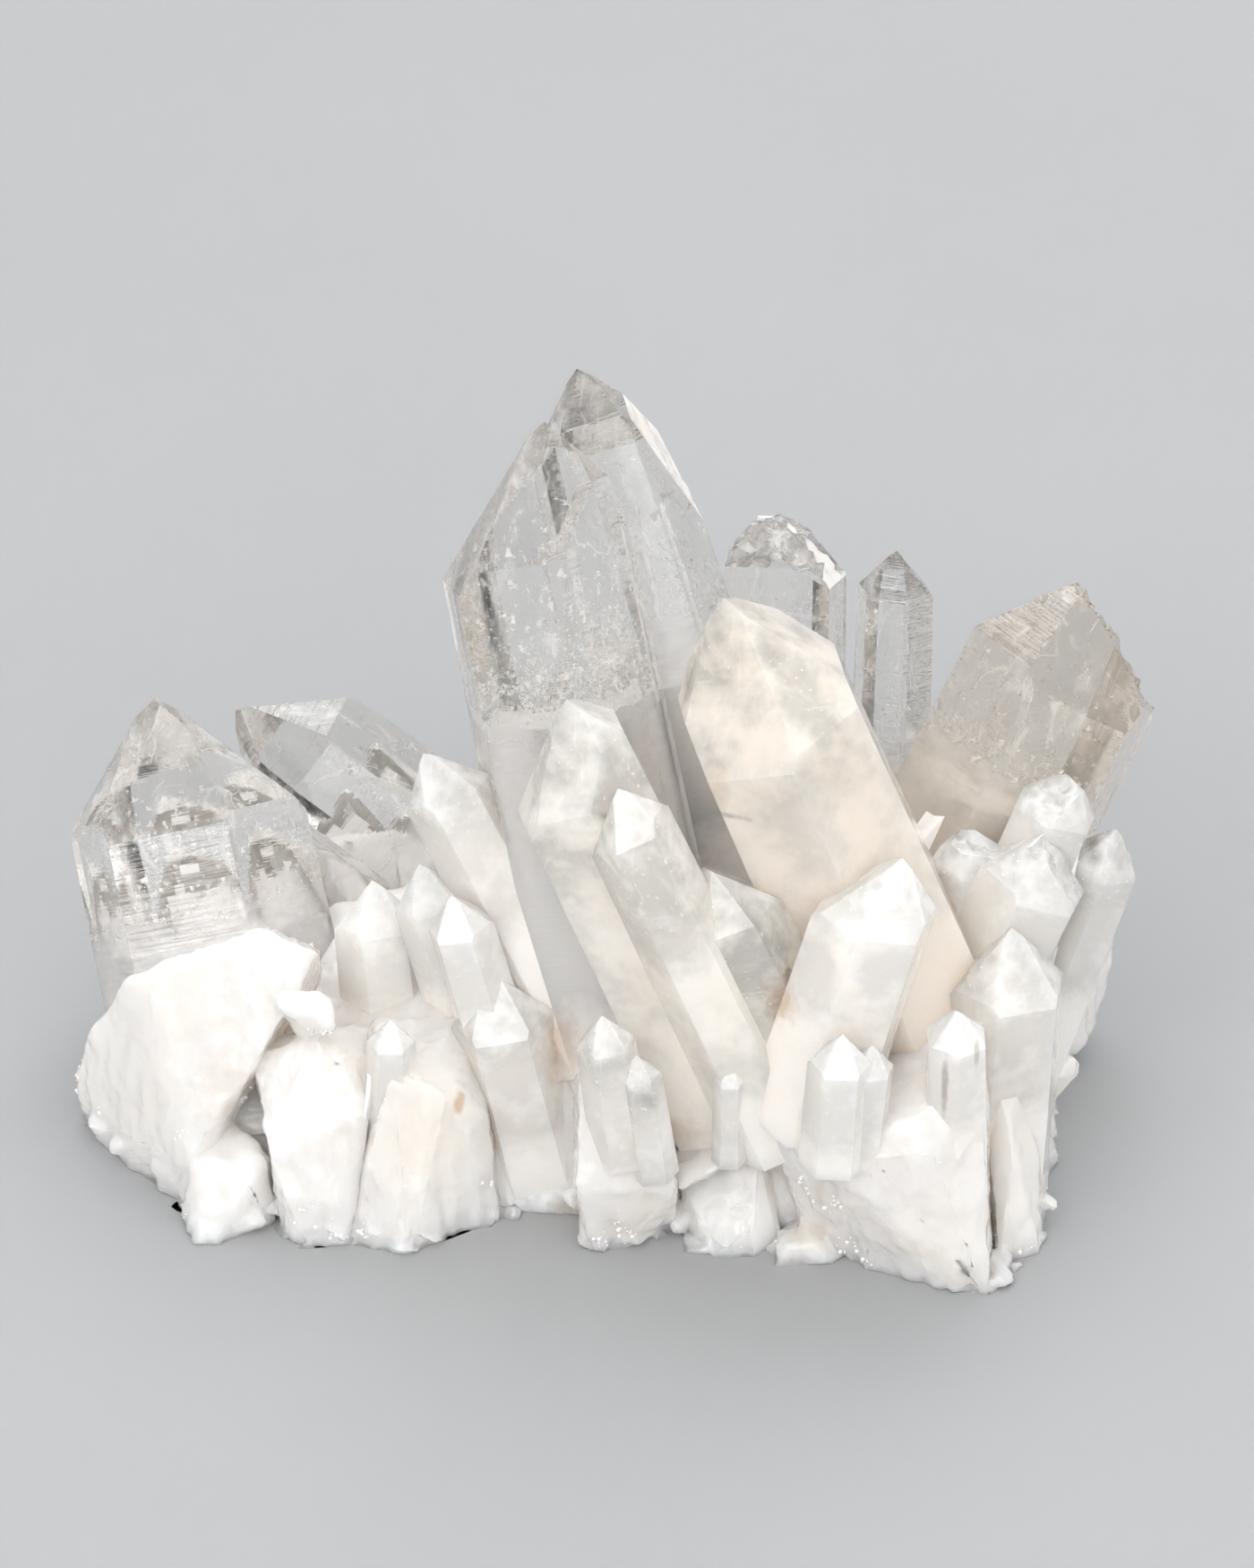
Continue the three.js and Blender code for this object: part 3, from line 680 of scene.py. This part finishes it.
def build_veils(tree):
    """One mesh of tiny thin flakes, the fluid and gas in the healed cracks."""
    places, ways = flake_places(tree)
    random = np.random.default_rng(1)
    count = len(places)
    sides = unit(np.cross(ways, random.normal(size=(count, 3))))
    others = np.cross(ways, sides)
    sizes = FLAKE_SIZE * random.lognormal(0, FLAKE_VARIETY, count)[:, None]
    corners = [places + ways * sizes * FLAKE_THICKNESS]
    for turn in (0, math.tau / 3, 2 * math.tau / 3):
        stretch = random.uniform(*FLAKE_STRETCH, (count, 1)) * sizes
        corners.append(places + (sides * math.cos(turn) + others * math.sin(turn)) * stretch)
    corners = np.stack(corners, axis=1).reshape(-1, 3)
    shape = np.array([(0, 1, 2), (0, 2, 3), (0, 3, 1), (3, 2, 1)])
    faces = (np.arange(count)[:, None, None] * 4 + shape).reshape(-1, 3)
    mesh = bpy.data.meshes.new("healed_veils")
    mesh.from_pydata(corners.tolist(), [], faces.tolist())
    return show(mesh, "healed_veils")


def grain_places(mesh, random):
    """Random places on the lumps, in patches and along the rim, with the surface's normals there."""
    count = len(mesh.polygons)
    areas = np.zeros(count)
    clears = np.zeros(count)
    normals = np.zeros(3 * count)
    corners = np.zeros(3 * count, int)
    mesh.polygons.foreach_get("area", areas)
    mesh.polygons.foreach_get("normal", normals)
    mesh.polygons.foreach_get("vertices", corners)
    mesh.attributes["clear"].data.foreach_get("value", clears)
    places = np.array([v.co for v in mesh.vertices]) / MM
    chance = np.where(clears == BASE_LOOK["clear"], areas, 0)
    chosen = random.choice(count, 8 * GRAINS, p=chance / chance.sum())
    shares = random.dirichlet((1, 1, 1), len(chosen))
    found = (places[corners.reshape(-1, 3)[chosen]] * shares[:, :, None]).sum(axis=1)
    patch = np.array([noise.fractal(Vector(p) * GRAIN_PATCHES, 0.8, 2, 3) for p in found])
    patch += 0.5 * np.maximum(0, 1 - found[:, 2] / RIM_HEIGHT)
    kept = (patch > np.sort(patch)[-GRAINS]) & (found[:, 2] > GRAIN_FLOOR)
    return found[kept], normals.reshape(-1, 3)[chosen][kept]


def build_grains(cluster):
    """One mesh of tiny six-sided points on the lumps."""
    random = np.random.default_rng(5)
    places, normals = grain_places(cluster.data, random)
    count = len(places)
    ups = unit(normals + GRAIN_LEAN * random.normal(size=(count, 3)))
    sides = unit(np.cross(ups, random.normal(size=(count, 3))))
    others = np.cross(ups, sides)
    small, large = GRAIN_SIZES
    sizes = (small + (large - small) * random.uniform(size=count) ** 3)[:, None]
    heights = sizes * random.uniform(*GRAIN_HEIGHTS, (count, 1))
    rings = []
    for height in (-GRAIN_DEPTH, 1 - GRAIN_DEPTH):
        for i in range(6):
            turn = i * math.pi / 3
            across = (sides * math.cos(turn) + others * math.sin(turn)) * sizes
            rings.append(places + across + ups * heights * height)
    tips = places + ups * (heights * (1 - GRAIN_DEPTH) + sizes)
    corners = np.stack([*rings, tips], axis=1).reshape(-1, 3)
    shape = [(5, 4, 3, 2, 1, 0)]
    for i in range(6):
        j = (i + 1) % 6
        shape += [(i, j, 6 + j, 6 + i), (6 + i, 6 + j, 12)]
    faces = [[13 * number + i for i in face] for number in range(count) for face in shape]
    mesh = bpy.data.meshes.new("small_points")
    mesh.from_pydata(corners.tolist(), [], faces)
    return show(mesh, "small_points")


class Graph:
    """A material under construction: adds nodes to it and links them."""

    def __init__(self, name):
        self.material = bpy.data.materials.new(name)
        self.material.use_nodes = True
        self.tree = self.material.node_tree
        self.tree.nodes.clear()

    def add(self, kind, inputs=(), **settings):
        """A new node with these settings, whose inputs are linked or set to values."""
        node = self.tree.nodes.new(kind)
        for key, value in settings.items():
            setattr(node, key, value)
        for key, value in dict(inputs).items():
            if isinstance(value, bpy.types.NodeSocket):
                self.tree.links.new(value, node.inputs[key])
            else:
                node.inputs[key].default_value = value
        return node

    def attribute(self, name, output="Fac"):
        """What the mesh stores under a name."""
        return self.add("ShaderNodeAttribute", attribute_name=name).outputs[output]

    def place(self):
        """Where the point is in the cluster, in millimetres."""
        return self.scaled(self.add("ShaderNodeTexCoord").outputs["Object"], (1 / MM,) * 3)

    def math(self, operation, *values):
        """The result of one operation on sockets and numbers."""
        return self.add("ShaderNodeMath", enumerate(values), operation=operation).outputs[0]

    def scaled(self, vector, scale):
        """The vector with each part multiplied by its scale."""
        inputs = {0: vector, 1: scale}
        return self.add("ShaderNodeVectorMath", inputs, operation="MULTIPLY").outputs[0]

    def noise(self, vector, scale, detail=3, roughness=0.5, distortion=0):
        """Soft noise from 0 to 1, with scale forms to a unit of the vector."""
        inputs = {"Vector": vector, "Scale": scale, "Detail": detail}
        inputs |= {"Roughness": roughness, "Distortion": distortion}
        return self.add("ShaderNodeTexNoise", inputs).outputs[0]

    def square_cells(self, vector, scale):
        """The distance from the middle of square-sided cells."""
        inputs = {"Vector": vector, "Scale": scale}
        return self.add("ShaderNodeTexVoronoi", inputs, distance="CHEBYCHEV").outputs["Distance"]

    def cracks(self, vector, scale, width):
        """One along thin curved lines between cells, and zero elsewhere."""
        wavy = self.add("ShaderNodeTexNoise", {"Vector": vector, "Scale": 2 * scale, "Detail": 2})
        bend = self.scaled(wavy.outputs["Color"], (0.4 / scale,) * 3)
        bent = self.add("ShaderNodeVectorMath", {0: vector, 1: bend}, operation="ADD").outputs[0]
        inputs = {"Vector": bent, "Scale": scale}
        edges = self.add("ShaderNodeTexVoronoi", inputs, feature="DISTANCE_TO_EDGE")
        return self.step(edges.outputs["Distance"], width, 0.0)

    def step(self, value, low, high, start=0, end=1):
        """A smooth step of value from low to high, which gives start to end."""
        inputs = {"Value": value, "From Min": low, "From Max": high, "To Min": start, "To Max": end}
        return self.add("ShaderNodeMapRange", inputs, interpolation_type="SMOOTHSTEP").outputs[0]

    def marks(self, place, marks, ragged):
        """How strongly a point at place is in any of the marks, whose edges are ragged."""
        strongest = 0.0
        for middle, half_sizes, strength in marks:
            off = self.add("ShaderNodeVectorMath", {0: place, 1: middle}, operation="SUBTRACT").outputs[0]
            off = self.scaled(off, [1 / size for size in half_sizes])
            far = self.add("ShaderNodeVectorMath", {0: off}, operation="LENGTH").outputs["Value"]
            mark = self.step(self.math("ADD", far, ragged), 1.2, 0.3, 0.0, float(strength))
            strongest = self.math("MAXIMUM", strongest, mark)
        return strongest

    def mix(self, share, first, second):
        """The first colour, or this share of the second."""
        node = self.add("ShaderNodeMix", {0: share}, data_type="RGBA")
        for socket, value in ((node.inputs[6], first), (node.inputs[7], second)):
            if isinstance(value, bpy.types.NodeSocket):
                self.tree.links.new(value, socket)
            else:
                socket.default_value = (*value, 1)
        return node.outputs[2]

    def bump(self, height, depth, normal=None):
        """The normal of a surface whose height differs by up to a depth in millimetres."""
        inputs = {"Height": height, "Distance": depth * MM, "Strength": 1.0}
        if normal is not None:
            inputs["Normal"] = normal
        return self.add("ShaderNodeBump", inputs).outputs[0]

    def finish(self, shader, volume=None):
        """The material, once its output is linked."""
        output = self.add("ShaderNodeOutputMaterial")
        self.tree.links.new(shader.outputs[0], output.inputs["Surface"])
        if volume is not None:
            self.tree.links.new(volume.outputs[0], output.inputs["Volume"])
        return self.material


def quartz_material():
    """Clear quartz that clouds over with depth below the tip, with flecks, growth lines, stains and painted
    slot shade.
    """
    g = Graph("quartz")
    growth = g.attribute("growth", "Vector")
    depth = g.math("MULTIPLY", g.add("ShaderNodeSeparateXYZ", {0: growth}).outputs["Z"], -1.0)

    # The skin of a clear crystal stays clear past the top of the cloud inside it, which shows through.
    wander = g.noise(growth, 0.25, 4, 0.6)
    start = g.math("ADD", g.attribute("fade"), g.attribute("clear"))
    wandered = g.math("MULTIPLY_ADD", wander, WANDER, g.math("SUBTRACT", depth, start))
    closing = g.math("DIVIDE", g.math("SUBTRACT", wandered, WANDER / 2), g.attribute("fade"))
    reached = g.math("DIVIDE", g.math("MULTIPLY_ADD", wander, WANDER, depth), start)
    haze = g.step(reached, HAZE_START, 1.0, 0.0, HAZE)
    clouded = g.math("MAXIMUM", g.step(closing, 0.0, 1.0), haze)

    wisps = g.step(g.noise(g.scaled(growth, (0.3, 0.3, 0.12)), 1.0, 3, 0.6, 0.8), 0.5, 0.75, 0.0, 0.3)
    cracks = g.math("MULTIPLY", g.cracks(growth, 0.08, 0.016), g.step(g.noise(growth, 0.2), 0.4, 0.6))
    unclear = g.math("SUBTRACT", 1.0, g.attribute("clarity"))
    flecks = g.step(g.noise(growth, 2.2, 1), 0.68, 0.74, 0.0, unclear)
    flecks = g.math("MULTIPLY", flecks, g.step(g.noise(growth, 0.16), 0.45, 0.6))
    cloudy = g.math("MAXIMUM", g.math("MAXIMUM", clouded, wisps), g.math("MULTIPLY", cracks, CRACKS))
    cloudy = g.math("MAXIMUM", cloudy, g.math("MULTIPLY", flecks, FLECKS))

    # A half clear crystal is clearer in some patches than in others.
    patches = g.step(g.noise(growth, 0.13, 4, 0.55), 0.35, 0.65, 1.7, 0.45)
    patchy = g.math("POWER", g.attribute("clarity"), patches)
    clarity = g.math("MULTIPLY", g.math("SUBTRACT", 1.0, cloudy), patchy)

    place = g.place()
    ragged = g.math("MULTIPLY_ADD", g.noise(place, 0.7, 4, 0.65), 1.4, -0.7)
    stain = g.marks(place, STAINS, ragged)
    # Painted shade of the slots, a dark mark at each.
    painted_slot_shade = g.marks(place, PAINTED_SLOT_SHADE, ragged)
    cream = g.step(g.noise(growth, 0.07, 3, 0.6), 0.45, 0.75, 0.0, 0.5)
    milk = g.mix(cream, g.attribute("milk", "Color"), CREAM)
    colour = g.mix(clarity, milk, g.attribute("glass", "Color"))
    # The rust stains, then the painted shade of the slots over them.
    colour = g.mix(painted_slot_shade, g.mix(stain, colour, RUST), SLOT_SHADE_COLOUR)

    lines = g.noise(g.scaled(growth, (0.1, 0.1, 2)), 1.0, 2, 0.6)
    lines = g.math("MULTIPLY", lines, g.attribute("lines"))
    normal = g.bump(lines, LINE_DEPTH)
    hillocks = g.math("ADD", g.square_cells(growth, 0.8), g.noise(growth, 1.5, 3))
    hillocks = g.math("MULTIPLY", hillocks, g.math("ADD", clouded, 0.02))
    normal = g.bump(hillocks, HILLOCK_DEPTH, normal)

    frost = g.step(g.noise(growth, 0.4, 3, 0.6), 0.4, 0.7, 0.02, 0.1)
    roughness = g.math("ADD", frost, g.math("MULTIPLY", clouded, 0.12))

    shader = g.add(
        "ShaderNodeBsdfPrincipled",
        {
            "Base Color": colour,
            "Roughness": roughness,
            "Transmission Weight": clarity,
            "Normal": normal,
            "IOR": QUARTZ_IOR,
            "Subsurface Weight": 0.7,
            "Subsurface Radius": (1, 0.9, 0.8),
            "Subsurface Scale": MILK_DEPTH * MM,
        },
    )
    volume = g.add("ShaderNodeVolumeAbsorption", {"Color": ABSORBED, "Density": ABSORPTION})
    return g.finish(shader, volume)


def cloud_material():
    """White cloud inside the quartz, in wisps."""
    g = Graph("cloud")
    place = g.place()
    milk = g.attribute("milk", "Color")
    wisps = g.step(g.noise(place, 0.25, 5, 0.65, 0.6), 0.35, 0.7, 0.45, 0.9)
    colour = g.mix(wisps, milk, WISP_WHITE)
    return g.finish(g.add("ShaderNodeBsdfPrincipled", {"Base Color": colour, "Roughness": 0.8}))


def flake_material():
    """Bright flakes, each a little different in tone."""
    g = Graph("flakes")
    place = g.place()
    colour = g.mix(g.noise(place, 0.9, 2), *FLAKE_TONES)
    return g.finish(g.add("ShaderNodeBsdfPrincipled", {"Base Color": colour, "Roughness": 0.3}))


def grain_material():
    """Glassy white of the smallest points."""
    g = Graph("grains")
    place = g.place()
    colour = g.mix(g.noise(place, 0.5, 3), MILK, GRAIN_WHITE)
    inputs = {"Base Color": colour, "Roughness": 0.4, "IOR": QUARTZ_IOR}
    return g.finish(g.add("ShaderNodeBsdfPrincipled", inputs))


def floor_material():
    """Pale matt board with the faintest mottle."""
    g = Graph("pale_floor")
    place = g.add("ShaderNodeTexCoord").outputs["Object"]
    colour = g.mix(g.noise(place, 9, 5, 0.6), *FLOOR_TONES)
    return g.finish(g.add("ShaderNodeBsdfPrincipled", {"Base Color": colour, "Roughness": 0.7}))


def build_floor():
    """A large flat floor, level with the underside."""
    bm = bmesh.new()
    bmesh.ops.create_circle(bm, cap_ends=True, segments=FLOOR_SIDES, radius=FLOOR_RADIUS)
    mesh = bpy.data.meshes.new("floor")
    bm.to_mesh(mesh)
    bm.free()
    mesh.materials.append(floor_material())
    floor = bpy.data.objects.new("floor", mesh)
    bpy.context.scene.collection.objects.link(floor)


def aim(thing, place, target):
    """Puts a thing at a place, facing a target."""
    thing.location = place
    thing.rotation_euler = (Vector(target) - Vector(place)).to_track_quat("-Z", "Y").to_euler()


def add_light(name, direction, distance, size, power, colour):
    """A square soft light that stands in a direction from the cluster and faces it."""
    data = bpy.data.lights.new(name, "AREA")
    data.shape = "SQUARE"
    data.size = size
    data.energy = power
    data.color = colour
    light = bpy.data.objects.new(name, data)
    bpy.context.scene.collection.objects.link(light)
    target = Vector(CAMERA_TARGET) * MM
    aim(light, target + Vector(direction).normalized() * distance, target)


def add_camera():
    """The camera, at the photo's angle."""
    data = bpy.data.cameras.new("camera")
    data.sensor_width = CAMERA_SENSOR
    data.lens = CAMERA_LENS
    camera = bpy.data.objects.new("camera", data)
    bpy.context.scene.collection.objects.link(camera)
    rise = math.radians(CAMERA_ELEVATION)
    target = Vector(CAMERA_TARGET) * MM
    back = Vector((0, -math.cos(rise), math.sin(rise)))
    aim(camera, target + back * CAMERA_DISTANCE * MM, target)
    bpy.context.scene.camera = camera


def add_world():
    """A soft white studio, brighter overhead than at the height of the floor."""
    world = bpy.data.worlds.new("studio")
    world.use_nodes = True
    nodes, links = world.node_tree.nodes, world.node_tree.links
    background = nodes["Background"]
    background.inputs["Color"].default_value = (*WORLD_COLOUR, 1)
    height = nodes.new("ShaderNodeSeparateXYZ")
    links.new(nodes.new("ShaderNodeTexCoord").outputs["Generated"], height.inputs[0])
    strength = nodes.new("ShaderNodeMapRange")
    for name, value in zip(("From Min", "From Max", "To Min", "To Max"), WORLD_RANGE):
        strength.inputs[name].default_value = value
    links.new(height.outputs["Z"], strength.inputs["Value"])
    links.new(strength.outputs[0], background.inputs["Strength"])
    bpy.context.scene.world = world


add_camera()
add_world()
for light_name, settings in LIGHTS.items():
    add_light(light_name, *settings)
build_floor()

tree = solid_tree()
cluster = build_cluster()
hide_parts(NODE)
hearts = build_hearts(tree)
walls = build_walls(tree)
veils = build_veils(tree)
grains = build_grains(cluster)
cloud = cloud_material()
dressed = (
    (cluster, quartz_material()),
    (hearts, cloud),
    (walls, cloud),
    (veils, flake_material()),
    (grains, grain_material()),
)
for piece, material in dressed:
    piece.data.materials.append(material)
    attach(piece, "root")

scene = bpy.context.scene
scene.cycles.max_bounces = 10
scene.cycles.transmission_bounces = 10
scene.cycles.glossy_bounces = 4
scene.cycles.adaptive_threshold = 0.08
scene.cycles.adaptive_min_samples = 12
scene.view_settings.view_transform = "Standard"
